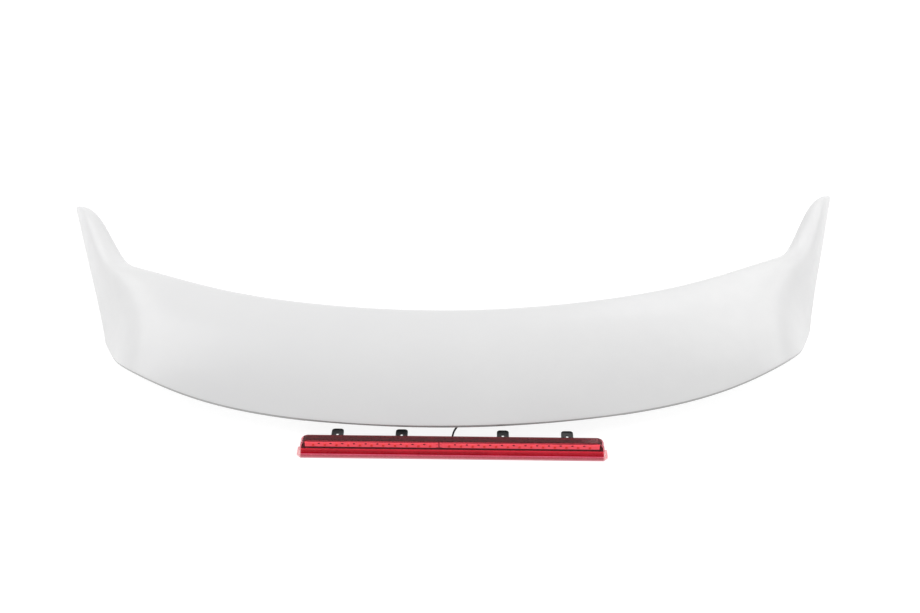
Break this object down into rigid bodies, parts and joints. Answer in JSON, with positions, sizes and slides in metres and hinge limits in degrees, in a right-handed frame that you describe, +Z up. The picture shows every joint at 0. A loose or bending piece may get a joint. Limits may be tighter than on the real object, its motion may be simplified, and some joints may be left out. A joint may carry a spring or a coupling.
{
  "type": "car rear spoiler",
  "caption": "Bowed bridge-type rear spoiler with swept legs cut to a sloping tailgate, and a slim LED third brake lamp beside its seat on its lead.",
  "frame": {"origin": "middle of the box of the whole set, on the floor", "axes": "+X across the car, to the right as seen from behind; +Y to the front of the car; +Z up"},
  "size_m": [1.405, 0.594, 0.136],
  "materials": {
    "gelcoat": "satin off-white gelcoat, lightly sanded, ready for paint",
    "insert_brass": "knurled and bonded in",
    "black_rubber": "moulded",
    "red_lens": "clear red, polished",
    "black_plastic": "fine grain",
    "circuit_board": "white solder mask",
    "led_package": "clear resin over a white cup",
    "chip_body": "dull",
    "solder": "tinned",
    "lead_jacket": "smooth jacket"
  },
  "bodies": {
    "root": {"spoiler_body": "gelcoat", "foot_inserts": "insert_brass", "seat_grommet": "black_rubber", "lamp_lens": "red_lens", "lamp_base": "black_plastic", "led_board_left": "circuit_board", "led_board_right": "circuit_board", "leds_left": "led_package", "leds_right": "led_package", "resistors_left": "chip_body", "resistors_right": "chip_body", "board_links": "solder", "lamp_gland": "black_rubber", "lamp_lead": "lead_jacket"}
  },
  "joints": []
}
